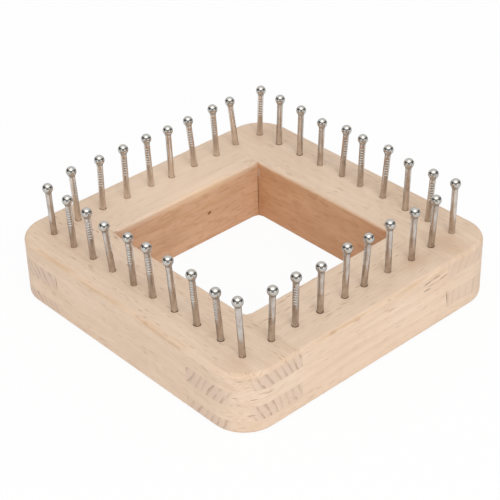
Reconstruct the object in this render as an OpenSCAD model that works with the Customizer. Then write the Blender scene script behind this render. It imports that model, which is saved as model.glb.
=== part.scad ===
// Square knitting loom: four beech rails finger-jointed into a frame, with 36 round-headed steel nails
// driven into its top as pegs. Millimetres, +Z up, origin at the middle of the underside.
// Seen from above the sides run round as front (-Y), right (+X), back (+Y) and left (-X).

/* [Frame] */
// Outside length of each side of the frame
loom_side = 133; // [128:1:160]
// Width of a rail, seen from above
rail_w = 28.8; // [26:0.2:34]
// Thickness of the rails
rail_t = 26; // [22:0.5:34]
// Radius of the rounded upright corners
corner_r = 14.5; // [10:0.5:18]
// Rounding of the outer arrises, above and below
outer_arris_r = 2; // [1:0.1:3]
// Rounding of the arrises round the opening
inner_arris_r = 1.2; // [0.6:0.1:1.8]
// Radius of the cutter's guide, which rounds the eased arris in the corners of the opening
guide_r = 3; // [2:0.5:5]

/* [Pegs] */
// Distance of the rows of pegs from the outside faces
peg_inset = 12.5; // [10:0.1:14]
// Diameter of a peg's shank
shank_d = 2.4; // [2:0.1:3]
// Diameter of a peg's round head
head_d = 4.1; // [3.6:0.1:5]
// Depth of the neck's cone below the middle of the head
neck_drop = 2.3; // [2.2:0.1:3]
// Height of the middle of the head over the wood
head_rise = 20.8; // [18:0.2:24]
// Share of the rails' thickness that a peg is driven into
driven_share = 0.6; // [0.56:0.01:0.7]
// Length of the four-sided point
point_l = 3.2; // [2:0.2:5]
// Clearance round the shank in its hole
hole_gap = 0.05; // [0.03:0.01:0.15]
// Clearance round the shank at the mouth of its hole
mouth_gap = 0.3; // [0.2:0.05:0.4]
// Depth of the wider mouth
mouth_depth = 0.8; // [0.4:0.1:1.5]

/* [Gripper marks] */
// Distance from the middle of the head down to the first mark
mark_start = 3.9; // [3.4:0.1:6]
// Distance between neighbouring marks
mark_pitch = 0.7; // [0.5:0.05:0.9]
// Number of marks on each side of the shank
mark_count = 11; // [6:1:14]
// Depth of a mark
mark_depth = 0.15; // [0.1:0.01:0.25]

/* [Hidden] */
$fn = 64;
// Overrun of the cuts
over = 1;
// Half of the flat at the tip of a peg's point
tip_half = 0.2;
// How far the shank's side outline stands off it between two marks
mark_crest = 0.05;

half_side = loom_side / 2;
open_half = half_side - rail_w;
shank_r = shank_d / 2;
head_r = head_d / 2;

// Finger levels from the top down, as shares of the thickness. The front and back rails hold the first and
// the third, and the right and left rails the second and the fourth.
level_shares = [0.275, 0.255, 0.245, 0.225];
levels = len(level_shares);

SIDES = ["front", "right", "back", "left"];
// Pegs that belong to each row: the one on the corner where it starts, and those up to the next corner
row_pegs = 9;
// Even distance between neighbouring pegs
peg_pitch = (loom_side - 2 * peg_inset) / row_pegs;
// Length of a peg from the middle of its head to its point
peg_l = head_rise + driven_share * rail_t;

// The pegs are placed and driven by hand, so each has its own small error. Each table has one line per side,
// in the order of SIDES, and starts at that side's corner peg.
// How far a peg's foot stands further along its row, as a share of the pitch
foot_along_share = [
    [0.07, 0.12, 0.07, 0.05, 0.09, -0.01, -0.01, -0.01, 0.02],
    [-0.05, 0.06, 0.04, 0.04, 0.10, -0.06, -0.01, -0.01, -0.03],
    [0.06, 0.06, 0.02, 0.06, 0.09, -0.03, 0.00, 0.00, 0.04],
    [0.00, 0.06, 0.04, 0.06, 0.10, -0.05, 0.00, 0.01, 0.01],
];
// How far a peg's foot stands further out, as a share of the pitch
foot_out_share = [
    [0.06, 0.06, 0.03, 0.03, 0.03, 0.02, 0.01, -0.01, -0.02],
    [0.03, 0.05, 0.02, 0.05, 0.03, 0.02, 0.02, 0.08, 0.01],
    [0.03, 0.02, -0.01, 0.03, 0.02, 0.05, 0.03, 0.03, 0.03],
    [0.00, 0.09, -0.01, -0.01, -0.03, 0.03, 0.00, 0.02, 0.03],
];
// Height of a head over the wood, as a share of the usual rise
rise_share = [
    [0.98, 1.01, 0.98, 0.96, 1.00, 1.04, 1.05, 1.04, 0.98],
    [1.12, 1.02, 1.00, 0.94, 1.03, 1.00, 1.00, 1.00, 1.00],
    [1.04, 0.99, 0.99, 1.02, 1.01, 1.00, 0.92, 0.98, 0.99],
    [0.99, 0.96, 1.02, 0.99, 1.02, 1.02, 1.04, 1.04, 1.04],
];
// Lean of each peg towards the outside, in degrees
lean_out = [
    [1.5, 2.5, 2.5, 4.5, 2.5, 3.0, 3.5, 3.0, 3.5],
    [-0.5, 2.5, 2.0, 2.0, 2.5, 3.5, 1.5, 2.0, 3.0],
    [1.0, 3.5, 2.5, 4.5, 2.5, 4.5, 3.0, 2.5, 2.5],
    [-0.5, 5.0, 3.0, 4.5, 2.0, 2.5, 1.5, 1.0, 3.0],
];
// Lean of each peg along its row, in degrees
lean_along = [
    [-1.0, 0.0, -0.5, -2.0, -0.5, -1.0, -1.0, -1.0, -1.0],
    [-3.0, 0.5, 0.0, -0.5, 0.0, 1.5, -0.5, 0.0, 1.0],
    [-0.5, -1.5, -0.5, -2.0, -0.5, -2.0, -0.5, -0.5, -0.5],
    [-3.0, 3.0, 1.0, 2.5, 0.0, 0.5, -0.5, -1.5, 1.0],
];
// Turn of each peg about its own axis, in degrees, which says where its marks face
peg_turn = [
    [47, 130, 145, 50, 120, 140, 75, 110, 95],
    [137, 165, 40, 160, 135, 168, 140, 130, 140],
    [47, 130, 75, 140, 120, 145, 80, 20, 70],
    [50, 137, 40, 55, 165, 45, 60, 50, 95],
];

function peg_name(k, i) = str(SIDES[k], "_peg_", i + 1);

// Height of the top of finger level n, where 0 is the first from the top
function level_top(n) = n == 0 ? rail_t : level_top(n - 1) - rail_t * level_shares[n - 1];

// What is left outside a quarter circle in the corner at [x, y], cut away to round it with radius r.
// The signs say on which side of the corner the solid lies.
module corner_cut(x, y, r, side_x, side_y) {
    translate([x, y])
        mirror([side_x > 0 ? 1 : 0, 0])
            mirror([0, side_y > 0 ? 1 : 0])
                difference() {
                    translate([-r, -r])
                        square(r + over);
                    translate([-r, -r])
                        circle(r);
                }
}

// What rounding takes off the upper arris all along one side's outside, past both rounded corners
module outer_arris_cut() {
    turn = half_side - corner_r;
    translate([-turn, -half_side, rail_t])
        rotate([90, 0, 90])
            linear_extrude(2 * turn)
                corner_cut(0, 0, outer_arris_r, 1, -1);
    for (end = [0, 1])
        mirror([end, 0, 0]) {
            translate([turn, -turn, rail_t])
                rotate([0, 0, -90])
                    rotate_extrude(angle = 90)
                        translate([corner_r, 0])
                            corner_cut(0, 0, outer_arris_r, -1, -1);
            translate([half_side, over - open_half, rail_t])
                rotate([90, 0, 0])
                    linear_extrude(over - open_half + turn)
                        corner_cut(0, 0, outer_arris_r, -1, -1);
        }
}

// One side of the frame as a plain bar with its outer arrises and both upright corners rounded
module side_bar() {
    difference() {
        linear_extrude(rail_t)
            difference() {
                translate([-half_side, -half_side])
                    square([loom_side, rail_w]);
                corner_cut(half_side, -half_side, corner_r, -1, 1);
                corner_cut(-half_side, -half_side, corner_r, 1, 1);
            }
        outer_arris_cut();
        translate([0, 0, rail_t])
            mirror([0, 0, 1])
                outer_arris_cut();
    }
}

// Fingers of the neighbouring rails, taken out of both ends of a side bar
module finger_sockets(k) {
    for (n = [0 : levels - 1])
        if (n % 2 != k % 2)
            for (end = [0, 1])
                mirror([end, 0, 0])
                    translate([open_half, -half_side - over, level_top(n) - rail_t * level_shares[n]])
                        cube([rail_w + over, rail_w + 2 * over, rail_t * level_shares[n]]);
}

// What the rounding cutter takes off one arris of the opening, above the front rail
module arris_cut() {
    run = open_half - guide_r;
    translate([-run, -open_half, rail_t])
        rotate([90, 0, 90])
            linear_extrude(2 * run)
                corner_cut(0, 0, inner_arris_r, -1, -1);
    translate([run, -run, rail_t])
        rotate([0, 0, -90])
            rotate_extrude(angle = 90)
                translate([guide_r, 0])
                    corner_cut(0, 0, inner_arris_r, 1, -1);
}

// Place and lean of peg i of row k, seen from the row's own side. Its z axis runs up the peg from the wood.
module at_peg(k, i) {
    along = (i - row_pegs / 2 + foot_along_share[k][i]) * peg_pitch;
    outward = half_side - peg_inset + foot_out_share[k][i] * peg_pitch;
    translate([along, -outward, rail_t])
        rotate([lean_out[k][i], lean_along[k][i], 0])
            children();
}

function rise(k, i) = head_rise * rise_share[k][i];

// Blind hole that a peg is driven into, with its mouth worn wider
module peg_hole(k, i) {
    at_peg(k, i) {
        translate([0, 0, rise(k, i) - peg_l - hole_gap])
            cylinder(h = peg_l - rise(k, i) + hole_gap + over, r = shank_r + hole_gap);
        translate([0, 0, -mouth_depth])
            cylinder(h = mouth_depth + over, r = shank_r + mouth_gap);
    }
}

// Whether a peg, counted from a corner peg, can stand over the fingers of the rail across that corner
function near_corner(count) = peg_inset + (count - 0.5) * peg_pitch < rail_w;

// A rail: its bar less the neighbours' fingers, the eased arrises and the holes of all pegs that meet it
module rail(k) {
    color("burlywood")
        rotate([0, 0, 90 * k])
            difference() {
                side_bar();
                finger_sockets(k);
                for (turn = [0, 90])
                    rotate([0, 0, -turn]) {
                        arris_cut();
                        translate([0, 0, rail_t])
                            mirror([0, 0, 1])
                                arris_cut();
                    }
                for (i = [0 : row_pegs - 1]) {
                    peg_hole(k, i);
                    if (near_corner(i))
                        rotate([0, 0, 90])
                            peg_hole((k + 1) % 4, i);
                    if (near_corner(row_pegs - i))
                        rotate([0, 0, -90])
                            peg_hole((k + 3) % 4, i);
                }
            }
}

// Side view of the shank's outline, which cuts the point and, where marked, the gripper marks
module shank_outline(marked) {
    out = shank_r + mark_crest;
    top = -mark_start;
    marks = marked ? [
        for (m = [0 : mark_count])
            each [
                [out, top - (m - 0.5) * mark_pitch],
                if (m < mark_count) [shank_r - mark_depth, top - m * mark_pitch],
            ]
    ] : [];
    side = concat([[out, 0]], marks, [[out, point_l - peg_l], [tip_half, -peg_l]]);
    mirrored = [for (n = [len(side) - 1 : -1 : 0]) [-side[n].x, side[n].y]];
    rotate([90, 0, 0])
        linear_extrude(2 * out, center = true)
            polygon(concat(side, mirrored));
}

// A round-headed wire nail. Its head's middle is the origin and its point is down.
module nail() {
    intersection() {
        translate([0, 0, -peg_l])
            cylinder(h = peg_l, r = shank_r);
        shank_outline(true);
        rotate([0, 0, 90])
            shank_outline(false);
    }
    rotate_extrude()
        difference() {
            union() {
                circle(head_r);
                neck_section();
            }
            translate([-head_d, -head_d])
                square([head_d, 2 * head_d]);
        }
}

// Half section of the cone between head and shank. It leaves the ball at an angle below its middle.
module neck_section() {
    leave = 36;
    polygon([
        [0, 0],
        [head_r * cos(leave), -head_r * sin(leave)],
        [shank_r, -neck_drop],
        [0, -neck_drop],
    ]);
}

module peg(k, i) {
    color("lightsteelblue")
        rotate([0, 0, 90 * k])
            at_peg(k, i)
                translate([0, 0, rise(k, i)])
                    rotate([0, 0, peg_turn[k][i]])
                        nail();
}

rail(0);  // front_rail
rail(1);  // right_rail
rail(2);  // back_rail
rail(3);  // left_rail
for (k = [0 : 3], i = [0 : row_pegs - 1])
    peg(k, i);
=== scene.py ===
"""Square knitting loom: beech rails and round-headed steel nails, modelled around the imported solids.

Everything is in metres and in the solids' own frame. Sizes that repeat the solids are read from them.
"""
import math
import random

import bmesh
import bpy
import numpy as np
from mathutils import Matrix, Vector


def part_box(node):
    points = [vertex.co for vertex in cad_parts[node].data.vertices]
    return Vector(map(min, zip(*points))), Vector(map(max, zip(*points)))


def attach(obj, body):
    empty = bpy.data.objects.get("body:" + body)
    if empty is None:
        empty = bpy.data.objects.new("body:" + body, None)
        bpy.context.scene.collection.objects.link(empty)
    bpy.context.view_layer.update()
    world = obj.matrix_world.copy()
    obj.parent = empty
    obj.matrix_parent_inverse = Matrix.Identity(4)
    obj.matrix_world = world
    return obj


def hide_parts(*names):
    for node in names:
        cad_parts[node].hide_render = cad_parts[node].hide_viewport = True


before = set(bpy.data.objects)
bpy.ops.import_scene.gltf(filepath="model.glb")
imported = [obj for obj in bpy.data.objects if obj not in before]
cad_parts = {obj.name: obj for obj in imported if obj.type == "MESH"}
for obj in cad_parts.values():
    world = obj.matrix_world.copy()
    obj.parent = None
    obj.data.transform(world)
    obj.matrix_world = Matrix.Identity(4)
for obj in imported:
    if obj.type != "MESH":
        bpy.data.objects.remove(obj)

bl_info = {
    "name": "Square knitting loom",
    "version": (1, 0, 0),
    "blender": (4, 5, 0),
    "location": "3D View > Sidebar > Loom",
    "description": "Models the rails, the nails and the studio of a square knitting loom",
    "category": "Object",
}

MM = 0.001
NEAR = 1e-6  # points closer than this count as one
WHITE = (1, 1, 1, 1)
STARTUP_OBJECTS = ("Cube", "Light", "Camera")
SIDES = ("front", "right", "back", "left")
PEGS_PER_SIDE = 9
DRIVEN_SHARE = 0.6  # how deep a nail is driven, as a share of the rail's thickness
LIT_SHANK_SHARES = (0.06, 0.0, 0.17, 0.42)  # how much painted light brightens each side's shanks, as a share
NECK_STEPS = ((1.16, 0.40), (1.045, 0.72))  # the neck's radius as a share of the shank's, and how far down it is
FINGER_SHARES = (0.275, 0.255, 0.245, 0.225)  # height of each finger level, from the top down

for startup_name in STARTUP_OBJECTS:
    if startup_name in bpy.data.objects:
        bpy.data.objects.remove(bpy.data.objects[startup_name])
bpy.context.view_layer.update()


# ---- Selecting and shaping


def clear_selection():
    """Leaves nothing selected, so that the next operator acts on new things only."""
    if bpy.context.mode != "OBJECT":
        bpy.ops.object.mode_set(mode="OBJECT")
    bpy.ops.object.select_all(action="DESELECT")


def make_active(piece):
    """Selects one piece alone."""
    clear_selection()
    piece.select_set(True)
    bpy.context.view_layer.objects.active = piece


def settle(piece):
    """Puts a piece's place, turn and scale into its mesh."""
    make_active(piece)
    bpy.ops.object.transform_apply(location=True, rotation=True, scale=True)
    return piece


def add_block(name, low, high):
    """A box between two corners."""
    clear_selection()
    low, high = Vector(low), Vector(high)
    bpy.ops.mesh.primitive_cube_add(size=1, location=(low + high) / 2)
    block = bpy.context.active_object
    block.name = name
    block.scale = high - low
    return settle(block)


def select_parts(piece, kind, wanted):
    """Opens a piece in edit mode with the faces or edges selected that the test accepts."""
    make_active(piece)
    bpy.ops.object.mode_set(mode="EDIT")
    bpy.ops.mesh.select_mode(type=kind)
    bpy.ops.mesh.select_all(action="DESELECT")
    mesh = bmesh.from_edit_mesh(piece.data)
    chosen = [part for part in (mesh.faces if kind == "FACE" else mesh.edges) if wanted(part)]
    for part in chosen:
        part.select_set(True)
    bmesh.update_edit_mesh(piece.data)
    if not chosen:
        raise RuntimeError(f"nothing in {piece.name} passes the test")


def round_edges(piece, wanted, radius, segments):
    """Rounds the edges whose two ends the test accepts."""
    select_parts(piece, "EDGE", lambda edge: wanted(edge.verts[0].co, edge.verts[1].co))
    shape = {"offset_type": "OFFSET", "offset": radius, "segments": segments, "profile": 0.5}
    bpy.ops.mesh.bevel(affect="EDGES", clamp_overlap=False, **shape)
    bpy.ops.object.mode_set(mode="OBJECT")


def apply_modifier(piece, kind, **values):
    """Adds one modifier and applies it at once."""
    make_active(piece)
    modifier = piece.modifiers.new(kind.title(), kind)
    for key, value in values.items():
        setattr(modifier, key, value)
    bpy.ops.object.modifier_apply(modifier=modifier.name)


def cut(piece, cutter):
    """Takes one closed mesh out of another, and removes the other."""
    apply_modifier(piece, "BOOLEAN", operation="DIFFERENCE", solver="EXACT", object=cutter)
    bpy.data.objects.remove(cutter)


def extrude_ring(rise, scale, centre):
    """Extrudes what is selected upwards by rise and scales it about the centre."""
    bpy.ops.mesh.extrude_region_move(TRANSFORM_OT_translate={"value": (0, 0, rise)})
    bpy.ops.transform.resize(value=(scale, scale, 1), center_override=centre)


def copy_piece(piece, name):
    """A copy with its own mesh."""
    make_active(piece)
    bpy.ops.object.duplicate(linked=False)
    twin = bpy.context.active_object
    twin.name = name
    return twin


def dress(piece, material, node):
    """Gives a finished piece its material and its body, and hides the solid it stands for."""
    piece.data.materials.clear()
    piece.data.materials.append(material)
    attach(piece, "root")
    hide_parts(node)


# ---- Places read from the solids


def peg_points(node):
    """The different points of a peg's solid, as rows."""
    points = np.array([v.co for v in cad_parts[node].data.vertices], float)
    return np.unique(points.round(8), axis=0)


def peg_place(node, settings):
    """Where a peg stands: its head's middle at the origin, its marks along X and its point down -Z."""
    crown_slice, tip_slice, margin = 1.2 * MM, 0.1 * MM, 0.3 * MM
    first_mark = settings.mark_start
    last_mark = first_mark + (settings.mark_count - 1) * settings.mark_pitch
    points = peg_points(node)
    crown = points[points[:, 2] > points[:, 2].max() - crown_slice]
    rows = np.column_stack([2 * crown, np.ones(len(crown))])
    head = Vector(np.linalg.lstsq(rows, (crown**2).sum(axis=1), rcond=None)[0][:3])
    tip = Vector(points[points[:, 2] < points[:, 2].min() + tip_slice].mean(axis=0))
    up = (head - tip).normalized()
    aside = Vector((1, 0, 0)) - up * up.x
    aside.normalize()
    ahead = up.cross(aside)
    twice_x = twice_y = 0.0
    for point in points:
        offset = Vector(point) - head
        depth = -offset.dot(up)
        across, along = offset.dot(aside), offset.dot(ahead)
        if first_mark - margin < depth < last_mark + margin:
            turn = 2 * math.atan2(along, across)
            twice_x += math.cos(turn)
            twice_y += math.sin(turn)
    turn = math.atan2(twice_y, twice_x) / 2
    marks = aside * math.cos(turn) + ahead * math.sin(turn)
    place = Matrix((marks, up.cross(marks), up)).transposed().to_4x4()
    place.translation = head
    return place


PEG_NODES = [f"{side}_peg_{count + 1}" for side in SIDES for count in range(PEGS_PER_SIDE)]
FRONT_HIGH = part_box("front_rail")[1]
HALF_SIDE = FRONT_HIGH.x
OPEN_HALF = -FRONT_HIGH.y
RAIL_T = FRONT_HIGH.z


# ---- Settings


def length(name, description, default):
    """A length property in metres."""
    return bpy.props.FloatProperty(name=name, description=description, default=default, unit="LENGTH", precision=5)


def angle(name, description, degrees):
    """An angle property."""
    return bpy.props.FloatProperty(name=name, description=description, default=math.radians(degrees), subtype="ANGLE")


def power(name, description, default):
    """A lamp's power property in watts."""
    return bpy.props.FloatProperty(name=name, description=description, default=default, min=0, unit="POWER")


def colour(name, description, red, green, blue):
    """A colour property, written as it looks on screen in 0 to 255."""
    light = [screen_to_light(value / 255) for value in (red, green, blue)]
    return bpy.props.FloatVectorProperty(
        name=name, description=description, default=light, subtype="COLOR", size=3, min=0, max=1
    )


def screen_to_light(value):
    """A screen value from 0 to 1 as the light it stands for."""
    return value / 12.92 if value <= 0.04045 else ((value + 0.055) / 1.055) ** 2.4


class LoomRailSettings(bpy.types.PropertyGroup):
    """Sizes and colours of the beech rails."""

    corner_radius: length("Corner radius", "Radius of the rounded upright corners", 14.5 * MM)
    outer_arris: length("Outer arris", "Rounding of the outer arrises", 2 * MM)
    inner_arris: length("Inner arris", "Rounding of the arrises round the opening", 1.2 * MM)
    guide_radius: length("Guide radius", "Radius of the cutter's guide in the opening's corners", 3 * MM)
    eased: length("Eased edge", "Ease of the sharp edges, which shows the joints", 0.012 * MM)
    hole_radius: length("Hole radius", "Radius of a nail's hole", 1.25 * MM)
    mouth_radius: length("Mouth radius", "Radius of the hole where it opens", 1.36 * MM)
    mouth_depth: length("Mouth depth", "Depth of the wider mouth", 0.5 * MM)
    # Also the colour of the painted highlight on the near corner's top arris
    pale: colour("Pale wood", "Early wood between the rings", 232, 208, 185)
    tan: colour("Tan wood", "Broad darker bands", 219, 190, 163)
    late: colour("Late wood", "Thin dark side of a ring", 205, 170, 138)
    fleck: colour("Flecks", "Short rays that run through the wood", 160, 120, 88)
    end_grain: colour("End grain", "Wood cut square across its grain", 218, 193, 173)
    end_streak: colour("End streaks", "Rings on the end grain", 168, 137, 115)
    # Painted shade on the walls of the opening, which makes them browner and darker
    wall_shade_tone: colour("Inner walls", "Tone of the sawn walls of the opening", 232, 192, 152)
    # Also the colour of the painted shade along the top's outer arris
    warm: colour("Warm streaks", "Warm streaks along the arrises", 204, 168, 130)
    dark: colour("Cracks", "Cracks and open seams", 110, 76, 52)
    # Paler patches on the left rail's top, and painted light that makes the right rail's outer face paler
    pale_and_lit: colour("Bleached wood", "The palest parts of the surface", 245, 218, 192)
    # Golden wood on the opening's walls, and painted light along the top of the left rail's inner wall
    golden_and_lit: colour("Golden wood", "Golden wood along the arrises of the opening", 240, 200, 156)
    knot: colour("Knot", "The small knot in the left rail's inner wall", 140, 89, 48)
    chip: colour("Chip", "A pale chip in the opening's far corner", 205, 188, 176)


class LoomNailSettings(bpy.types.PropertyGroup):
    """Sizes and colours of the nails."""

    head_radius: length("Head radius", "Radius of the round head", 2.048 * MM)
    shank_radius: length("Shank radius", "Radius of the shank", 1.2 * MM)
    neck_drop: length("Neck drop", "Depth of the neck below the head's middle", 2.3 * MM)
    point: length("Point", "Length of the four-sided point", 3.2 * MM)
    mark_start: length("First mark", "Depth of the first gripper mark below the head's middle", 4.0 * MM)
    mark_pitch: length("Mark pitch", "Distance between gripper marks", 1.1 * MM)
    mark_depth: length("Mark depth", "Depth of a gripper mark", 0.25 * MM)
    mark_radius: length("Mark radius", "Radius of the tool that pressed the marks", 0.34 * MM)
    mark_count: bpy.props.IntProperty(name="Marks", description="Gripper marks on each side", default=7, min=1)
    polished: colour("Polished steel", "Plated steel of the heads", 194, 190, 184)
    steel: colour("Steel", "Bright plated steel", 203, 195, 188)
    dull_steel: colour("Dull steel", "Steel where the plating has dulled", 176, 161, 149)
    # Painted highlight on the upward-facing lower lips of the gripper marks
    pressed: colour("Pressed steel", "Bright lower lips of the gripper marks", 226, 222, 216)
    # Painted light: a paler steel mixed into each side's shanks by its own share
    clean: colour("Clean steel", "Steel of the shanks whose plating stayed clean", 250, 238, 225)
    neck: colour("Neck steel", "Bluish steel of the neck", 176, 186, 196)
    # Painted shade on the shank's sides with the gripper marks, between the painted highlights on the lips
    between: colour("Steel between marks", "Rubbed steel between the gripper marks", 138, 133, 127)


class LoomStageSettings(bpy.types.PropertyGroup):
    """Camera, lamps and floor."""

    azimuth: angle("Azimuth", "Turn of the camera round the loom", 48.30)
    elevation: angle("Elevation", "Height of the camera as an angle", 33.80)
    roll: angle("Roll", "Turn of the camera about its view", -1.57)
    distance: length("Distance", "From the camera to the point it looks at", 0.590)
    aim: bpy.props.FloatVectorProperty(
        name="Aim", description="Point the camera looks at", default=(0, -0.0014, 0.0186), subtype="TRANSLATION"
    )
    lens: bpy.props.FloatProperty(name="Lens", description="Focal length in millimetres", default=110.16, min=1)
    floor_colour: colour("Floor", "White table", 245, 245, 245)
    sky: bpy.props.FloatProperty(name="Sky", description="Light of the surroundings", default=0.58, min=0)
    overhead: power("Overhead lamp", "Power of the soft lamp above", 6.1)
    side: power("Side lamp", "Power of the soft lamp on the right", 6.3)
    front: power("Front lamp", "Power of the soft lamp in front", 1.7)


# ---- Shader nodes


def put(tree, kind, inputs=None, **values):
    """Adds a node. Each input is a socket to link or a plain value to set."""
    node = tree.nodes.new(kind)
    node.location = (180 * (len(tree.nodes) % 12), -220 * (len(tree.nodes) // 12))
    for key, value in values.items():
        setattr(node, key, value)
    for key, value in (inputs or {}).items():
        if isinstance(value, bpy.types.NodeSocket):
            tree.links.new(value, node.inputs[key])
        else:
            node.inputs[key].default_value = value
    return node


def calc(tree, operation, *values):
    """The result of one Math node."""
    return put(tree, "ShaderNodeMath", dict(enumerate(values)), operation=operation).outputs[0]


def times(tree, first, *others):
    """The product of several values."""
    for other in others:
        first = calc(tree, "MULTIPLY", first, other)
    return first


def vector_calc(tree, operation, *values):
    """The vector result of one Vector Math node."""
    return put(tree, "ShaderNodeVectorMath", dict(enumerate(values)), operation=operation).outputs[0]


def vector_length(tree, vector):
    """How long a vector is."""
    return put(tree, "ShaderNodeVectorMath", {0: vector}, operation="LENGTH").outputs["Value"]


def combine(tree, *values):
    """A vector made of up to three values."""
    return put(tree, "ShaderNodeCombineXYZ", dict(enumerate(values))).outputs[0]


def separate(tree, vector):
    """The three values of a vector."""
    return put(tree, "ShaderNodeSeparateXYZ", {0: vector}).outputs


def in_millimetres(tree, point, shift=(0, 0, 0), turn=0.0):
    """A point in millimetres, turned about Z and then shifted."""
    inputs = {"Vector": point, "Location": shift, "Rotation": (0, 0, turn), "Scale": (1 / MM,) * 3}
    return put(tree, "ShaderNodeMapping", inputs, vector_type="POINT").outputs[0]


def ramp(tree, value, start, end, low=0.0, high=1.0):
    """A smooth step from low to high while value goes from start to end."""
    inputs = {"Value": value, "From Min": start, "From Max": end, "To Min": low, "To Max": high}
    return put(tree, "ShaderNodeMapRange", inputs, interpolation_type="SMOOTHSTEP").outputs[0]


def blend(tree, amount, first, second, kind="MIX"):
    """A mix of two colours."""
    node = put(tree, "ShaderNodeMix", {0: amount, 6: first, 7: second}, data_type="RGBA", blend_type=kind)
    return node.outputs[2]


def noise(tree, point, scale, detail=2.0, roughness=0.5, seed=0.0, distortion=0.0):
    """A noise value from 0 to 1 over a stretched point."""
    stretched = vector_calc(tree, "MULTIPLY", point, scale)
    inputs = {"Vector": stretched, "W": seed, "Scale": 1.0, "Detail": detail, "Roughness": roughness}
    inputs["Distortion"] = distortion
    return put(tree, "ShaderNodeTexNoise", inputs, noise_dimensions="4D").outputs[0]


def rgba(value):
    """A colour with full alpha."""
    return (*value, 1.0)


def empty_tree(owner):
    """The node tree of a new material or world, with nothing in it."""
    owner.use_nodes = True
    owner.node_tree.nodes.clear()
    return owner.node_tree


def new_group(name, inputs, outputs):
    """An empty shader group with its named sockets. Returns the tree, its inputs and its results."""
    tree = bpy.data.node_groups.new(name, "ShaderNodeTree")
    for socket, kind, default in inputs:
        made = tree.interface.new_socket(socket, in_out="INPUT", socket_type=f"NodeSocket{kind}")
        made.default_value = default
    for socket, kind in outputs:
        tree.interface.new_socket(socket, in_out="OUTPUT", socket_type=f"NodeSocket{kind}")
    source = tree.nodes.new("NodeGroupInput").outputs
    return tree, source, put(tree, "NodeGroupOutput").inputs


# Colours of the solid beech, which the rail settings hold under the same names
BEECH_COLOURS = ("Pale", "Tan", "Late", "Fleck", "End Grain", "End Streak")


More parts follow.
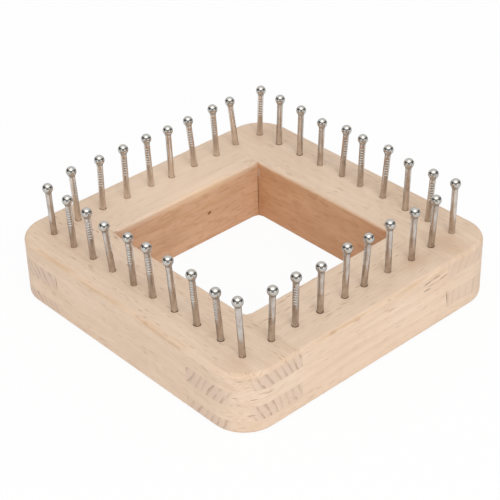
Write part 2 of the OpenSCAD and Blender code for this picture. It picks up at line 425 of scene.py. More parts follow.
def make_beech_group():
    """Solid beech, cut anywhere. Point is in millimetres from the rail's middle, with X along the grain."""
    tree, source, result = new_group(
        "solid_beech",
        [
            ("Point", "Vector", (0, 0, 0)),
            ("Across Grain", "Float", 0.0),
            ("Pith Y", "Float", -52.0),
            ("Pith Z", "Float", -28.0),
            ("Ring Width", "Float", 3.0),
            ("Seed", "Float", 0.0),
            ("Figure", "Float", 1.0),
            ("Fleck Share", "Float", 0.55),
            ("Streak Share", "Float", 0.0),
            ("End Contrast", "Float", 1.0),
            *[(name, "Color", WHITE) for name in BEECH_COLOURS],
        ],
        [("Color", "Color"), ("Roughness", "Float"), ("Height", "Float")],
    )
    point, seed, figure = source["Point"], source["Seed"], source["Figure"]

    def seeded(offset):
        return calc(tree, "ADD", seed, offset)

    # Distance from the pith: the grain wanders a little along the rail
    def from_pith(part, pith, stretch, wander_seed):
        sway = 8.0
        wander = calc(tree, "SUBTRACT", noise(tree, point, stretch, 1.0, 0.5, wander_seed), 0.5)
        return calc(tree, "SUBTRACT", calc(tree, "MULTIPLY_ADD", wander, sway, part), pith)

    parts = separate(tree, point)
    across = from_pith(parts[1], source["Pith Y"], (0.016, 0.05, 0.05), seed)
    upward = from_pith(parts[2], source["Pith Z"], (0.013, 0.04, 0.04), seeded(7.7))
    radius = calc(tree, "SQRT", calc(tree, "ADD", times(tree, across, across), times(tree, upward, upward)))
    pith_away = vector_length(tree, combine(tree, source["Pith Y"], source["Pith Z"]))
    arc = times(tree, calc(tree, "ARCTAN2", upward, across), pith_away)
    tree_point = combine(tree, parts[0], radius, arc)

    # Growth rings: each darkens slowly and ends at once, and some are stronger than others
    uneven = calc(tree, "SUBTRACT", noise(tree, tree_point, (0.02, 0.16, 0.10), 3.0, 0.6, seed), 0.5)
    phase = calc(tree, "ADD", calc(tree, "DIVIDE", radius, source["Ring Width"]), times(tree, uneven, 0.8))
    within = calc(tree, "FRACT", phase)
    which = put(tree, "ShaderNodeTexWhiteNoise", {"W": calc(tree, "FLOOR", phase)}, noise_dimensions="1D").outputs[0]
    darkening = times(tree, ramp(tree, within, 0.45, 0.94), ramp(tree, within, 1.0, 0.95))
    ring = times(tree, darkening, ramp(tree, which, 0.0, 1.0, 0.35, 1.0))

    # Rays: thin lens shapes that stand along the grain and towards the pith
    def rays(size, present_share, offset):
        shift = combine(tree, seeded(offset), seeded(2 * offset), seeded(offset))
        cell_point = vector_calc(tree, "MULTIPLY", tree_point, [1 / extent for extent in size])
        cell_point = vector_calc(tree, "ADD", cell_point, shift)
        cells = put(tree, "ShaderNodeTexVoronoi", {"Vector": cell_point, "Scale": 1.0})
        chance = put(tree, "ShaderNodeSeparateColor", {0: cells.outputs["Color"]}).outputs
        reach = ramp(tree, chance[0], 0.0, 1.0, 0.20, 0.40)
        lens = ramp(tree, calc(tree, "DIVIDE", cells.outputs["Distance"], reach), 1.0, 0.38)
        present = calc(tree, "LESS_THAN", chance[1], present_share)
        return times(tree, lens, present, ramp(tree, chance[2], 0.0, 1.0, 0.3, 1.0))

    short_rays = rays((5.6, 2.8, 0.52), 0.75, 0.0)
    long_rays = rays((7.5, 4.5, 0.95), 0.55, 17.0)
    gathered = ramp(tree, noise(tree, tree_point, (0.05, 0.12, 0.10), 1.0, 0.5, seeded(9.0)), 0.35, 0.65, 0.35, 1.0)
    fleck = times(tree, calc(tree, "MAXIMUM", short_rays, long_rays), gathered)

    # Fibres, broad bands and clouds
    fibres = noise(tree, tree_point, (0.12, 2.2, 3.1), 3.0, 0.65, seed)
    bands = noise(tree, tree_point, (0.02, 0.30, 0.22), 3.0, 0.6, seed)
    clouds = noise(tree, point, (0.035, 0.06, 0.06), 2.0, 0.5, seeded(3.1))

    tone = calc(tree, "SUBTRACT", calc(tree, "MULTIPLY_ADD", clouds, 0.4, times(tree, bands, 0.6)), 0.5)
    tone = calc(tree, "MULTIPLY_ADD", tone, figure, 0.5)
    long_wood = blend(tree, ramp(tree, tone, 0.25, 0.80), source["Pale"], source["Tan"])
    long_wood = blend(tree, times(tree, ring, 0.16, figure), long_wood, source["Late"])
    streaks = ramp(tree, noise(tree, tree_point, (0.13, 0.75, 0.60), 4.0, 0.6, seeded(21.0), 1.0), 0.48, 0.64)
    long_wood = blend(tree, times(tree, streaks, source["Streak Share"]), long_wood, source["Late"])
    long_wood = blend(tree, times(tree, fleck, source["Fleck Share"]), long_wood, source["Fleck"])

    # End grain: the rings show as short dark strokes
    end = ramp(tree, source["Across Grain"], 0.80, 0.98)
    streak_noise = noise(tree, tree_point, (0.05, 0.9, 0.25), 2.0, 0.6, seeded(5.0))
    end_ring = times(tree, ramp(tree, within, 0.50, 0.88), ramp(tree, within, 1.0, 0.92))
    end_ring = times(tree, end_ring, ramp(tree, which, 0.0, 1.0, 0.55, 1.0))
    streak = times(tree, end_ring, ramp(tree, streak_noise, 0.30, 0.55), 0.9, source["End Contrast"])
    end_wood = blend(tree, streak, source["End Grain"], source["End Streak"])
    end_share = times(tree, end, ramp(tree, source["End Contrast"], 0.0, 1.0, 0.3, 1.0))
    worn = noise(tree, point, (0.09, 0.09, 0.09), 2.0, 0.5, seeded(13.0))
    end_share = times(tree, end_share, ramp(tree, worn, 0.35, 0.65, 0.6, 1.0))
    wood = blend(tree, end_share, long_wood, end_wood)

    shade = ramp(tree, fibres, 0.25, 0.75, 0.915, 1.065)
    wood = blend(tree, 1.0, wood, combine(tree, shade, shade, shade), "MULTIPLY")

    height = calc(tree, "SUBTRACT", times(tree, fibres, 0.4), times(tree, fleck, 0.5))
    tree.links.new(wood, result["Color"])
    tree.links.new(ramp(tree, calc(tree, "ADD", fibres, fleck), 0.3, 1.6, 0.52, 0.70), result["Roughness"])
    tree.links.new(height, result["Height"])
    return tree


def make_mark_group():
    """The mask of one mark: Point is 1 away from the middle at the mark's edge, which is ragged and soft."""
    tree, source, result = new_group(
        "wood_mark",
        [("Point", "Vector", (0, 0, 0)), ("Ragged", "Float", 0.3), ("Soft", "Float", 0.5), ("Seed", "Float", 0.0)],
        [("Mask", "Float")],
    )
    away = vector_length(tree, source["Point"])
    rough = calc(tree, "SUBTRACT", noise(tree, source["Point"], (4.0, 1.2, 1.2), 3.0, 0.6, source["Seed"]), 0.5)
    away = calc(tree, "ADD", away, times(tree, rough, 2.0, source["Ragged"]))
    inner = calc(tree, "SUBTRACT", 1.0, source["Soft"])
    tree.links.new(ramp(tree, away, 1.0, inner), result["Mask"])
    return tree


def make_arris_shade_group():
    """The mask of a painted shade along the top's outer arris, which makes the arris darker where it catches the
    light. Point is in millimetres of the frame.
    """
    tree, source, result = new_group(
        "top_outline",
        [
            ("Point", "Vector", (0, 0, 0)),
            *[(name, "Float", size) for name, size in (("Half Side", 66.5), ("Corner Radius", 14.5), ("Top", 26))],
        ],
        [("Mask", "Float")],
    )
    parts = separate(tree, source["Point"])
    straight = calc(tree, "SUBTRACT", source["Half Side"], source["Corner Radius"])
    offsets = [calc(tree, "SUBTRACT", calc(tree, "ABSOLUTE", part), straight) for part in parts[:2]]
    past = [calc(tree, "MAXIMUM", offset, 0.0) for offset in offsets]
    out = calc(tree, "SQRT", calc(tree, "ADD", *[times(tree, value, value) for value in past]))
    inset = calc(tree, "SUBTRACT", source["Corner Radius"], out)
    below = calc(tree, "SUBTRACT", source["Top"], parts[2])
    on_arris = times(tree, ramp(tree, inset, 3.6, 0.5), ramp(tree, below, 3.4, 0.6))
    uneven = ramp(tree, noise(tree, source["Point"], (0.06, 0.06, 0.06), 3.0, 0.6, 2.0), 0.35, 0.65, 0.7, 1.0)
    tree.links.new(times(tree, on_arris, uneven), result["Mask"])
    return tree


# Marks on the wood, in millimetres of the frame: middle, direction, half sizes along and across, colour,
# strength, raggedness and softness
STREAK = ("warm", 0.55, 0.5, 0.9)
CRACK = ("dark", 0.8, 0.1, 0.4)
SEAM = ("dark", 0.65, 0.15, 0.5)
RAY = ("fleck", 0.68, 0.1, 0.6)
BACK_SEAM = ((-37.7, 37.7, 11), (0, 0, 1), 12.5, 0.42, *SEAM)
BACK_CHIP = ((-37, 37.7, 21), (-0.05, 0, 1), 2.9, 0.6, "chip", 0.75, 0.3, 0.5)
LEFT_SPLIT = ((-50, -66.2, 18.9), (1, 0.05, 0), 3.5, 0.3, *SEAM)
LEFT_SEAM = ((-37.5, -66.5, 16.2), (-0.08, 0, 1), 3.6, 0.36, *SEAM)
RIGHT_SEAM = ((66.5, 37.6, 10.8), (0, 0.05, -1), 3.2, 0.34, *SEAM)
RAIL_MARKS = {
    "front": (
        ((-36, -65.7, 25.4), (1, 0.03, 0), 17, 1.6, *STREAK),
        ((-14, -66.2, 24.9), (1, 0.01, 0), 13, 1.1, *STREAK),
        ((-3, -65.8, 25.3), (1, 0.08, 0), 12, 1.2, *STREAK),
        ((18, -66, 25.1), (1, -0.04, 0), 12, 1.3, *STREAK),
        ((30, -66.4, 24.6), (1, -0.05, 0), 12, 1.2, *STREAK),
        ((33, -65, 25.6), (1, -0.02, 0), 10, 0.7, *STREAK),
        ((48, -66.4, 23.4), (1, 0, -0.22), 3.4, 0.3, *RAY),
        # Painted highlight: a pale line on the near corner's top arris
        ((60.3, -63.6, 25), (1, 0.75, 0), 4.5, 0.35, "pale", 0.55, 0.3, 0.7),
        # A darker patch on the front rail's top near the near corner, among the nails
        ((56.5, -57.2, 26), (1, -0.2, 0), 10, 8, "late", 0.32, 0.4, 1),
        LEFT_SPLIT,
        ((53.5, -65.9, 23.4), (1, 0.04, -0.1), 4.6, 0.26, *RAY),
        ((58.2, -64.6, 22.4), (1, 0.33, -0.05), 4.2, 0.24, *RAY),
        ((60.8, -63.2, 23.4), (1, 0.6, 0), 2.6, 0.3, *RAY),
        ((64, -60.2, 8.4), (0.6, 1, 0), 2.6, 0.3, *RAY),
        ((61.8, -62.9, 9.6), (1, 0.9, 0.05), 2.6, 0.26, *RAY),
        LEFT_SEAM,
    ),
    "right": (
        # Painted light: the right rail's whole outer face made paler
        ((66.5, 0, 13), (0, 1, 0), 66, 18, "pale_and_lit", 0.16, 0.1, 0.6),
        ((65.9, -14, 25.4), (0, 1, 0), 22, 0.9, *STREAK),
        ((66, 18, 25.1), (0, 1, 0.02), 13, 0.9, *STREAK),
        ((66.2, 32, 24), (0, 1, 0.05), 9, 1.5, "warm", 0.35, 0.5, 0.9),
        # A darker patch on the right rail's top, among the nails
        ((57, 30, 26), (0, 1, 0), 10, 8, "late", 0.35, 0.4, 1),
        ((66.5, 26.4, 22.5), (0, 1, 0.14), 2.9, 0.28, *CRACK),
        ((66.5, 31, 22.9), (0, 1, 0.02), 2.7, 0.25, *CRACK),
        ((66.5, 35, 21.3), (0, 1, 0.16), 2.8, 0.24, *CRACK),
        ((66.5, 26, 19.7), (0, 1, 0.05), 2.2, 0.25, *CRACK),
        ((60.5, -63.8, 16), (1, 0.5, 0), 2.2, 0.28, *RAY),
        ((64.5, -59.5, 15.2), (0.5, 1, 0), 2.8, 0.28, *RAY),
        ((65.8, -56, 17.2), (0.3, 1, 0), 2.4, 0.26, *RAY),
        ((62.3, -62.4, 3.2), (1, 1, 0), 2.4, 0.28, *RAY),
        RIGHT_SEAM,
    ),
    "back": (
        # Darker patches on the back rail's top near both corners
        ((57, 47, 26), (1, -0.3, 0), 15, 12, "late", 0.42, 0.4, 1),
        ((-52, 53, 26), (1, 0, 0), 14, 10, "late", 0.18, 0.4, 1),
        ((0, 38.1, 25.4), (1, 0, 0), 38, 1.7, "warm", 0.4, 0.3, 0.9),
        ((18, 37.7, 18), (1, 0, 0), 16, 8, "golden_and_lit", 0.2, 0.3, 1),
        BACK_SEAM,
        BACK_CHIP,
        RIGHT_SEAM,
    ),
    "left": (
        LEFT_SPLIT,
        # Paler patches on the left rail's top
        ((-52, 2, 26), (0, 1, 0), 44, 16, "pale_and_lit", 0.45, 0.2, 0.8),
        ((-40.5, 8, 26), (0, 1, 0), 34, 5, "pale_and_lit", 0.55, 0.2, 0.9),
        ((-37.7, -10, 9), (0, 1, 0), 16, 6, "fleck", 0.22, 0.4, 1),
        ((-37.7, 10, 18), (0, 1, 0), 24, 1.7, "golden_and_lit", 0.22, 0.4, 1),
        # Painted light: a golden band along the top of the left rail's inner wall
        ((-37.8, 5, 24.3), (0, 1, 0), 38, 3.2, "golden_and_lit", 0.5, 0.3, 1),
        ((-37.7, 10.6, 13), (0, 1, 0.1), 4.5, 1.6, "late", 0.5, 0.4, 0.8),
        ((-37.7, 10.65, 13.15), (0, 1, 0.3), 1.25, 0.85, "knot", 1, 0.15, 0.45),
        BACK_SEAM,
        LEFT_SEAM,
    ),
}

# Each rail's own board: the tree's middle across it, ring width, contrast of the end grain, shares of the flecks and
# of the painted shade on the opening's wall, and where below the top the wall, with its painted shade, starts and is
# full
BOARDS = {
    "front": ((-100, -34), 2.8, 1.0, 0.55, 0.7, -0.2, -2.6),
    "right": ((-50, -30), 3.1, 0.9, 0.58, 0.7, -0.2, -2.6),
    "back": ((-66, -18), 3.4, 0.6, 0.35, 0.78, 0.3, -1.5),
    "left": ((-46, -40), 2.9, 1.0, 0.32, 0.6, -0.2, -3.6),
}


def add_mark(tree, group, frame_point, mark, seed):
    """The mask of one mark in the table."""
    middle, direction, half_length, half_width, _, strength, ragged, soft = mark
    turn = Vector((1, 0, 0)).rotation_difference(Vector(direction)).to_euler()
    half_sizes = (half_length, half_width, half_width)
    inputs = {"Vector": frame_point, "Location": middle, "Rotation": turn, "Scale": half_sizes}
    local = put(tree, "ShaderNodeMapping", inputs, vector_type="TEXTURE").outputs[0]
    inputs = {"Point": local, "Ragged": ragged, "Soft": soft, "Seed": seed}
    mask = put(tree, "ShaderNodeGroup", inputs, node_tree=group)
    return times(tree, mask.outputs[0], strength)


def new_material(name):
    """A new material and its empty node tree."""
    material = bpy.data.materials.new(name)
    return material, empty_tree(material)


def finish_material(tree, kind, inputs):
    """Adds a material's shader and its output."""
    shader = put(tree, kind, inputs)
    put(tree, "ShaderNodeOutputMaterial", {"Surface": shader.outputs[0]})


def make_beech(side_index, groups, settings):
    """The beech of one rail: grain along its length, its own pith, seed and marks."""
    beech, mark_group, arris_shade_group = groups
    side = SIDES[side_index]
    pith, ring_width, end_contrast, fleck_share, wall_shade_share, wall_start, wall_end = BOARDS[side]
    material, tree = new_material(f"beech_{side}")
    place = put(tree, "ShaderNodeTexCoord").outputs
    turn = -side_index * math.pi / 2
    middle = (0, (HALF_SIDE + OPEN_HALF) / 2 / MM, -RAIL_T / 2 / MM)
    point = in_millimetres(tree, place["Object"], middle, turn)
    frame_point = in_millimetres(tree, place["Object"])
    grain = (math.cos(turn), -math.sin(turn), 0)
    facing = put(tree, "ShaderNodeVectorMath", {0: place["Normal"], 1: grain}, operation="DOT_PRODUCT")
    across = calc(tree, "ABSOLUTE", facing.outputs["Value"])

    # Walls of the opening are sawn, with a stronger figure, and get a painted shade that makes them browner and
    # darker
    wall_y = (HALF_SIDE - OPEN_HALF) / 2 / MM
    parts = separate(tree, point)
    top = RAIL_T / 2 / MM
    below = ramp(tree, parts[2], top + wall_start, top + wall_end)
    in_opening = ramp(tree, calc(tree, "ABSOLUTE", parts[0]), OPEN_HALF / MM + 0.1, OPEN_HALF / MM - 0.1)
    wall = times(tree, ramp(tree, parts[1], wall_y - 0.9, wall_y - 0.02), below, in_opening)
    inputs = {
        "Point": point,
        "Across Grain": across,
        "Pith Y": pith[0],
        "Pith Z": pith[1],
        "Ring Width": ring_width,
        "Seed": 11.0 * side_index + 2.0,
        "Figure": calc(tree, "MULTIPLY_ADD", wall, 0.9, 1.0),
        "Fleck Share": calc(tree, "MULTIPLY_ADD", wall, -0.4 * fleck_share, fleck_share),
        "Streak Share": times(tree, wall, 0.55),
        "End Contrast": end_contrast,
    }
    for name in BEECH_COLOURS:
        inputs[name] = rgba(getattr(settings, name.lower().replace(" ", "_")))
    wood = put(tree, "ShaderNodeGroup", inputs, node_tree=beech).outputs
    tone = rgba(settings.wall_shade_tone)
    # Painted shade on the opening's walls, stronger on some rails than on others
    painted = blend(tree, times(tree, wall, wall_shade_share), wood["Color"], tone, "MULTIPLY")
    inputs = {"Point": frame_point, "Half Side": HALF_SIDE / MM, "Top": RAIL_T / MM}
    inputs["Corner Radius"] = settings.corner_radius / MM
    arris_shade = put(tree, "ShaderNodeGroup", inputs, node_tree=arris_shade_group).outputs[0]
    # Painted shade along the top's outer arris, in the warm colour
    painted = blend(tree, times(tree, arris_shade, 0.12), painted, rgba(settings.warm))

    depth = wood["Height"]
    for number, mark in enumerate(RAIL_MARKS[side]):
        mask = add_mark(tree, mark_group, frame_point, mark, 1.7 * number)
        painted = blend(tree, mask, painted, rgba(getattr(settings, mark[4])))
        if mark[4] == "dark":
            depth = calc(tree, "SUBTRACT", depth, mask)
    bump = put(tree, "ShaderNodeBump", {"Strength": 0.5, "Distance": 0.06 * MM, "Height": depth}).outputs[0]
    inputs = {"Base Color": painted, "Roughness": wood["Roughness"], "Normal": bump, "Specular IOR Level": 0.3}
    finish_material(tree, "ShaderNodeBsdfPrincipled", inputs)
    return material


def make_steel(settings):
    """Plated steel: a polished head, a drawn shank with dull patches, painted light that brightens each side's shanks
    by its own share, and marks whose sides get a painted shade and whose lower lips get a painted highlight.
    """
    material, tree = new_material("nail_steel_plated")
    point = in_millimetres(tree, put(tree, "ShaderNodeTexCoord").outputs["Object"])
    shank, gripped, pressed, clean = [
        put(tree, "ShaderNodeAttribute", attribute_name=name).outputs["Fac"]
        for name in ("shank", "gripped", "pressed", "clean")
    ]
    lines = noise(tree, point, (6.0, 6.0, 0.25), 3.0, 0.6)
    patches = noise(tree, point, (0.5, 0.5, 0.3), 2.0, 0.5, 4.0)
    drawn = blend(tree, ramp(tree, patches, 0.35, 0.75), rgba(settings.steel), rgba(settings.dull_steel))
    # Painted light: each side's shanks made paler by their own share
    drawn = blend(tree, clean, drawn, rgba(settings.clean))
    tint = blend(tree, shank, rgba(settings.polished), drawn)
    on_neck = times(tree, shank, calc(tree, "SUBTRACT", 1.0, shank), 3.2)
    tint = blend(tree, on_neck, tint, rgba(settings.neck))
    # Painted shade on the sides with the marks
    tint = blend(tree, times(tree, ramp(tree, gripped, 0.45, 0.75), 0.4), tint, rgba(settings.between))
    # Painted highlight on the marks' lower lips, which are also made rougher
    tint = blend(tree, pressed, tint, rgba(settings.pressed))
    dull = times(tree, ramp(tree, calc(tree, "ADD", lines, patches), 0.7, 1.4, 0.17, 0.32), shank)
    rough = calc(tree, "ADD", calc(tree, "MAXIMUM", dull, 0.05), times(tree, pressed, 0.3))
    rough = calc(tree, "MULTIPLY_ADD", on_neck, 0.25, rough)
    height = times(tree, lines, ramp(tree, shank, 0.0, 1.0, 0.15, 1.0))
    bump = put(tree, "ShaderNodeBump", {"Strength": 0.25, "Distance": 0.02 * MM, "Height": height}).outputs[0]
    inputs = {"Base Color": tint, "Roughness": rough, "Normal": bump}
    inputs.update({"Metallic": 1.0, "Specular Tint": (0.60, 0.63, 0.68, 1)})
    finish_material(tree, "ShaderNodeBsdfPrincipled", inputs)
    return material


# ---- Nails


def model_nail(settings, nail_length):
    """One nail with its head's middle at the origin and its point down."""
    clear_selection()
    head, shank, drop = settings.head_radius, settings.shank_radius, settings.neck_drop
    bpy.ops.mesh.primitive_uv_sphere_add(segments=32, ring_count=30, radius=head)
    nail = bpy.context.active_object
    nail.name = "nail_pattern"
    leave, straight = math.radians(36), 0.5 * MM
    rim_z = -head * math.sin(leave)
    select_parts(nail, "FACE", lambda face: face.calc_center_median().z < rim_z)
    bpy.ops.mesh.delete(type="FACE")
    bpy.ops.mesh.select_mode(type="EDGE")
    bpy.ops.mesh.select_all(action="DESELECT")
    bpy.ops.mesh.select_non_manifold()

    # Neck, shank and the blank of the point, as radius and height
    profile = [
        (head * math.cos(leave), rim_z),
        *[(shank * share, rim_z - (drop + rim_z) * way) for share, way in NECK_STEPS],
        (shank, -drop),
        (shank, -drop - straight),
        (shank, settings.point - nail_length),
        (shank, -nail_length),
    ]
    for (radius, height), (next_radius, next_height) in zip(profile, profile[1:]):
        extrude_ring(next_height - height, next_radius / radius, (0, 0, height))
    bpy.ops.mesh.edge_face_add()
    bpy.ops.mesh.select_all(action="SELECT")
    bpy.ops.mesh.normals_make_consistent(inside=False)

    # Four flats make the point
    tip_half = 0.2 * MM
    slope = math.atan2(shank - tip_half, settings.point)
    for quarter in range(4):
        turn = quarter * math.pi / 2
        outward = (math.cos(turn) * math.cos(slope), math.sin(turn) * math.cos(slope), -math.sin(slope))
        bpy.ops.mesh.select_all(action="SELECT")
        bpy.ops.mesh.bisect(
            plane_co=(math.cos(turn) * tip_half, math.sin(turn) * tip_half, -nail_length),
            plane_no=outward,
            use_fill=True,
            clear_outer=True,
            threshold=1e-7,
        )

    # Gripper marks: a row of short bars pressed into both sides
    clear_selection()
    bar_x = shank + settings.mark_radius - settings.mark_depth
    stand = {"location": (bar_x, 0, -settings.mark_start), "rotation": (math.pi / 2, 0, 0)}
    bpy.ops.mesh.primitive_cylinder_add(vertices=20, radius=settings.mark_radius, depth=4 * shank, **stand)
    bars = settle(bpy.context.active_object)
    row = {"count": settings.mark_count, "use_relative_offset": False, "use_constant_offset": True}
    apply_modifier(bars, "ARRAY", constant_offset_displace=(0, 0, -settings.mark_pitch), **row)
    apply_modifier(bars, "MIRROR")
    cut(nail, bars)
    note_shank(nail, settings)
    make_active(nail)
    bpy.ops.object.shade_smooth_by_angle(angle=math.radians(28))
    return nail


def note(nail, name, domain, values):
    """Notes one value for each point or face on a nail's mesh, for the steel to read."""
    nail.data.attributes.new(name, "FLOAT", domain).data.foreach_set("value", values)


def note_shank(nail, settings):
    """Notes where the shank is, its sides with the marks, which get a painted shade, and the marks' lower lips, which
    get a painted highlight.
    """
    start, just_inside = settings.head_radius * 0.5, 0.99
    first = settings.mark_start - settings.mark_pitch
    last = settings.mark_start + settings.mark_count * settings.mark_pitch
    necks, sides, lips = [], [], []
    for vertex in nail.data.vertices:
        neck = (-vertex.co.z - start) / (settings.neck_drop - start)
        necks.append(min(max(neck, 0.0), 1.0))
        sides.append(abs(vertex.co.x) / settings.shank_radius if first < -vertex.co.z < last else 0.0)
    for face in nail.data.polygons:
        sunk = settings.shank_radius * just_inside - face.center.xy.length
        # Upward-facing faces inside the marks, which get the painted highlight
        lips.append(float(first < -face.center.z < last and sunk > 0 and face.normal.z > 0))
    note(nail, "shank", "POINT", necks)
    note(nail, "gripped", "POINT", sides)
    note(nail, "pressed", "FACE", lips)


class LOOM_OT_nails(bpy.types.Operator):
    """Models one round-headed nail and sets a copy of it in every peg's place"""

    bl_idname = "loom.nails"
    bl_label = "Nails"

    def execute(self, context):
        settings = context.scene.loom_nails
        points = peg_points(PEG_NODES[0])
        place = peg_place(PEG_NODES[0], settings)
        heights = [(place.inverted() @ Vector(point)).z for point in points]
        pattern = model_nail(settings, -min(heights))
        steel = make_steel(settings)
        for number, node in enumerate(PEG_NODES):
            nail = copy_piece(pattern, node.replace("peg", "nail"))
            # Each side's share of painted light on the shanks
            note(nail, "clean", "POINT", [LIT_SHANK_SHARES[number // PEGS_PER_SIDE]] * len(nail.data.vertices))
            nail.matrix_world = peg_place(node, settings)
            settle(nail)
            dress(nail, steel, node)
        bpy.data.objects.remove(pattern)
        return {"FINISHED"}


# ---- Rails


def finger_levels():
    """Lowest and highest height of each finger level, from the top down."""
    levels, top = [], RAIL_T
    for share in FINGER_SHARES:
        levels.append((top - share * RAIL_T, top))
        top -= share * RAIL_T
    return levels


def model_front_rail(settings, own_levels):
    """A rail in the front rail's place, holding the finger levels given, without its holes."""
    spare, hair, over = 7 * MM, 0.02 * MM, 2 * MM
    half, opening = HALF_SIDE, OPEN_HALF
    far = -opening + spare - NEAR
    rail = add_block("rail", (-half, -half, 0), (half, -opening + spare, RAIL_T))

    def upright(a, b):
        return abs(a.x - b.x) < NEAR and abs(a.y - b.y) < NEAR

    round_edges(rail, lambda a, b: upright(a, b) and a.y < -half + NEAR, settings.corner_radius, 24)

    def on_outline(a, b):
        level = abs(a.z - b.z) < NEAR and (a.z < NEAR or a.z > RAIL_T - NEAR)
        return level and not (a.y > far and b.y > far)

    round_edges(rail, on_outline, settings.outer_arris, 6)

    # The cutter's guide leaves round corners, whose arrises are eased before the corners are cut square
    reach = opening - hair
    void = add_block("void", (-reach, -reach, -over), (reach, reach, RAIL_T + over))
    round_edges(void, upright, settings.guide_radius, 10)
    cut(rail, void)

    def on_void(co):
        return abs(co.x) < reach + NEAR and co.y > -reach - NEAR and (co.z < NEAR or co.z > RAIL_T - NEAR)

    def on_opening(a, b):
        return on_void(a) and on_void(b) and abs(a.z - b.z) < NEAR and not (a.y > far and b.y > far)

    round_edges(rail, on_opening, settings.inner_arris, 5)
    cut(rail, add_block("trim", (-half - over, -opening, -over), (half + over, 0, RAIL_T + over)))
    for number, (low, high) in enumerate(finger_levels()):
        if number in own_levels:
            continue
        low = low - over if number == len(FINGER_SHARES) - 1 else low
        high = high + over if number == 0 else high
        for end in (-1, 1):
            inner, outer = sorted((end * opening, end * (half + over)))
            cut(rail, add_block("socket", (inner, -half - over, low), (outer, -opening + over, high)))
    sharp = {"limit_method": "ANGLE", "angle_limit": math.radians(50), "use_clamp_overlap": True}
    apply_modifier(rail, "BEVEL", width=settings.eased, segments=1, **sharp)
    return rail


def hole_cutter(place, settings, chance):
    """The shape of one nail's hole, wider at its mouth, standing on a nail's axis."""
    clear_selection()
    above, rim, spare = 1.5 * MM, 0.3 * MM, 1 * MM
    axis = place.to_3x3().col[2].normalized()
    head = place.translation
    foot = head - axis * ((head.z - RAIL_T) / axis.z)
    depth = DRIVEN_SHARE * RAIL_T + spare
    mouth = settings.mouth_radius * chance.uniform(0.92, 1.06)
    bpy.ops.mesh.primitive_circle_add(vertices=28, radius=mouth, fill_type="NGON", location=(0, 0, above))
    cutter = settle(bpy.context.active_object)
    bpy.ops.object.mode_set(mode="EDIT")
    bpy.ops.mesh.select_all(action="SELECT")
    extrude_ring(-above - rim, 1.0, (0, 0, 0))
    extrude_ring(-settings.mouth_depth + rim, settings.hole_radius / mouth, (0, 0, 0))
    extrude_ring(-depth + settings.mouth_depth, 1.0, (0, 0, 0))
    bpy.ops.mesh.select_all(action="SELECT")
    bpy.ops.mesh.normals_make_consistent(inside=False)
    bpy.ops.object.mode_set(mode="OBJECT")
    tilt = place.to_3x3().to_4x4()
    tilt.translation = foot
    cutter.matrix_world = tilt
    return settle(cutter)


class LOOM_OT_rails(bpy.types.Operator):
    """Models the four finger-jointed rails and bores them for the nails"""

    bl_idname = "loom.rails"
    bl_label = "Rails"

    def execute(self, context):
        settings = context.scene.loom_rails
        groups = make_beech_group(), make_mark_group(), make_arris_shade_group()
        chance = random.Random(4)
        margin = 4 * MM
        places = [peg_place(node, context.scene.loom_nails) for node in PEG_NODES]
        for index, side in enumerate(SIDES):
            own = (0, 2) if index % 2 == 0 else (1, 3)
            rail = model_front_rail(settings, own)
            rail.name = f"{side}_rail_wood"
            rail.rotation_euler.z = index * math.pi / 2
            settle(rail)
            low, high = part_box(f"{side}_rail")
            for place in places:
                head = place.translation
                if low.x - margin < head.x < high.x + margin and low.y - margin < head.y < high.y + margin:
                    cut(rail, hole_cutter(place, settings, chance))
            make_active(rail)
            bpy.ops.object.shade_smooth_by_angle(angle=math.radians(32))
            apply_modifier(rail, "WEIGHTED_NORMAL", keep_sharp=True, weight=100)
            dress(rail, make_beech(index, groups, settings), f"{side}_rail")
        return {"FINISHED"}


# ---- Stage


def seen_or_mirrored(tree):
    """1 for rays that show the background: the camera's, and those that metal or glass sends on."""
    rays = put(tree, "ShaderNodeLightPath").outputs
    sent_on = calc(tree, "MAXIMUM", rays["Is Glossy Ray"], rays["Is Transmission Ray"])
    return calc(tree, "MAXIMUM", rays["Is Camera Ray"], sent_on)


def make_floor_material(settings):
    """A white table that shows as white but keeps a soft shadow."""
    material, tree = new_material("white_table")
    paint = put(tree, "ShaderNodeBsdfDiffuse", {"Color": rgba(settings.floor_colour)})
    white = put(tree, "ShaderNodeEmission", {"Color": WHITE, "Strength": 1.0})
    white_share = 0.93
    seen = times(tree, seen_or_mirrored(tree), white_share)
    finish_material(tree, "ShaderNodeMixShader", {0: seen, 1: paint.outputs[0], 2: white.outputs[0]})
    return material


def make_world(settings):
    """Even white surroundings, which show as plain white."""
    world = bpy.data.worlds.new("white_studio")
    bpy.context.scene.world = world
    tree = empty_tree(world)
    strength = ramp(tree, seen_or_mirrored(tree), 0.0, 1.0, settings.sky, 1.0)
    sky = put(tree, "ShaderNodeBackground", {"Color": WHITE, "Strength": strength})
    put(tree, "ShaderNodeOutputWorld", {"Surface": sky.outputs[0]})


def add_soft_lamp(name, place, target, size, mirrored, watts):
    """A large soft lamp that looks at a point. It isn't seen itself, and only where told so does steel show it."""
    lamp = bpy.data.lights.new(name, "AREA")
    lamp.shape = "DISK"
    lamp.size = size
    lamp.energy = watts
    holder = bpy.data.objects.new(name, lamp)
    bpy.context.scene.collection.objects.link(holder)
    holder.location = place
    holder.rotation_euler = (Vector(target) - Vector(place)).to_track_quat("-Z", "Y").to_euler()
    holder.visible_camera = False
    holder.visible_glossy = mirrored


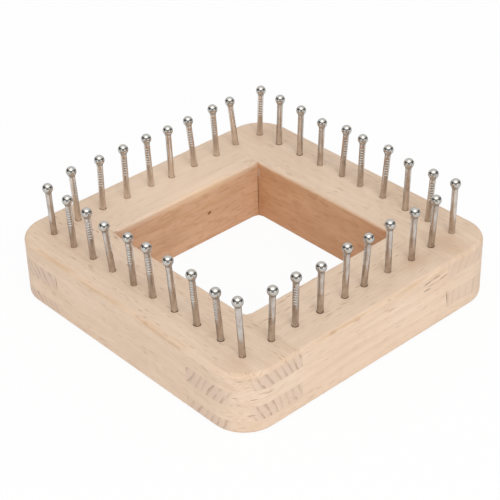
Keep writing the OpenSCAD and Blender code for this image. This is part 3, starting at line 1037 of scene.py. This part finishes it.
def add_card(name, azimuth, spread, low, high, light):
    """A curved card round the studio, which only polished metal shows. Its edges are given as angles."""
    clear_selection()
    reach = 0.9
    bottom, top = reach * math.tan(low), reach * math.tan(high)
    bpy.ops.mesh.primitive_cylinder_add(
        vertices=96, radius=reach, depth=top - bottom, location=(0, 0, (bottom + top) / 2), end_fill_type="NOTHING"
    )
    card = settle(bpy.context.active_object)
    card.name = name
    middle = Vector((math.sin(azimuth), -math.cos(azimuth)))
    select_parts(card, "FACE", lambda face: face.calc_center_median().xy.angle(middle) > spread)
    bpy.ops.mesh.delete(type="FACE")
    bpy.ops.object.mode_set(mode="OBJECT")
    material, tree = new_material(name)
    finish_material(tree, "ShaderNodeEmission", {"Color": WHITE, "Strength": light})
    card.data.materials.append(material)
    for rays in ("camera", "diffuse", "shadow", "transmission"):
        setattr(card, f"visible_{rays}", False)


def add_camera(settings):
    """The camera at the photograph's angle."""
    azimuth, elevation, roll = settings.azimuth, settings.elevation, settings.roll
    flat = math.cos(elevation)
    back = Vector((math.sin(azimuth) * flat, -math.cos(azimuth) * flat, math.sin(elevation)))
    level = Vector((math.cos(azimuth), math.sin(azimuth), 0))
    upright = back.cross(level)
    right = level * math.cos(roll) + upright * math.sin(roll)
    up = upright * math.cos(roll) - level * math.sin(roll)
    lens = bpy.data.cameras.new("camera")
    lens.lens = settings.lens
    lens.sensor_width = 36
    lens.clip_start, lens.clip_end = 0.01, 20
    camera = bpy.data.objects.new("camera", lens)
    bpy.context.scene.collection.objects.link(camera)
    place = Matrix((right, up, back)).transposed().to_4x4()
    place.translation = Vector(settings.aim) + back * settings.distance
    camera.matrix_world = place
    bpy.context.scene.camera = camera


# Cards that only the nails show: turn from the camera, half width, low and high edge in degrees, and light
STUDIO_CARDS = (
    ("dark_card_middle", 0, 24, 0, 45, 0.36),
    ("dark_card_left", -45, 21, 24, 43, 0.16),
    ("dark_card_right", 45, 21, 24, 43, 0.20),
    ("dark_card_far_left", -92, 27, 0.5, 41, 0.12),
    ("dark_card_far_right", 92, 27, 0.5, 41, 0.18),
    ("low_card_left", -128, 9, 0.5, 10, 0.10),
    ("low_card_right", 128, 9, 0.5, 10, 0.10),
    ("bright_card_left", -41, 9, 1, 20, 1.6),
    ("bright_card_right", 41, 9, 1, 20, 1.5),
)

# Soft lamps: place, the point they look at, size, and whether steel shows them. Their power is a setting
STUDIO_LAMPS = {
    "overhead": ((0.34, -0.30, 1.27), (0, 0, 0), 1.45, True),
    "side": ((1.25, -0.35, 0.75), (0, 0, 0.01), 0.9, False),
    "front": ((-0.35, -1.3, 0.55), (0, 0, 0.01), 0.9, False),
}


class LOOM_OT_stage(bpy.types.Operator):
    """Sets up the camera, the white table, the lamps and the surroundings"""

    bl_idname = "loom.stage"
    bl_label = "Stage"

    def execute(self, context):
        settings = context.scene.loom_stage
        context.scene.view_settings.view_transform = "Standard"
        add_camera(settings)
        clear_selection()
        bpy.ops.mesh.primitive_plane_add(size=8, location=(0, 0, 0))
        floor = settle(context.active_object)
        floor.name = "table"
        floor.data.materials.append(make_floor_material(settings))
        make_world(settings)
        for name, *angles, light in STUDIO_CARDS:
            turn, spread, low, high = map(math.radians, angles)
            add_card(name, settings.azimuth + turn, spread, low, high, light)
        for name, lamp in STUDIO_LAMPS.items():
            add_soft_lamp(f"{name}_lamp", *lamp, getattr(settings, name))
        return {"FINISHED"}


# ---- Panel and registration

SETTINGS = {"loom_rails": LoomRailSettings, "loom_nails": LoomNailSettings, "loom_stage": LoomStageSettings}
OPERATORS = (LOOM_OT_rails, LOOM_OT_nails, LOOM_OT_stage)


class LOOM_PT_panel(bpy.types.Panel):
    """Lists the loom's pieces, with their sizes and colours"""

    bl_idname = "LOOM_PT_panel"
    bl_label = "Knitting loom"
    bl_space_type = "VIEW_3D"
    bl_region_type = "UI"
    bl_category = "Loom"

    def draw(self, context):
        for group, operator in zip(SETTINGS, OPERATORS):
            settings = getattr(context.scene, group)
            box = self.layout.box()
            box.operator(operator.bl_idname)
            for key in settings.bl_rna.properties.keys():
                if key not in ("rna_type", "name"):
                    box.prop(settings, key)


CLASSES = (*SETTINGS.values(), *OPERATORS, LOOM_PT_panel)


def register():
    for kind in CLASSES:
        bpy.utils.register_class(kind)
    for group, kind in SETTINGS.items():
        setattr(bpy.types.Scene, group, bpy.props.PointerProperty(type=kind))


def unregister():
    for group in SETTINGS:
        delattr(bpy.types.Scene, group)
    for kind in reversed(CLASSES):
        bpy.utils.unregister_class(kind)


def main():
    register()
    bpy.ops.loom.stage()
    bpy.ops.loom.nails()
    bpy.ops.loom.rails()


if __name__ == "__main__":
    main()
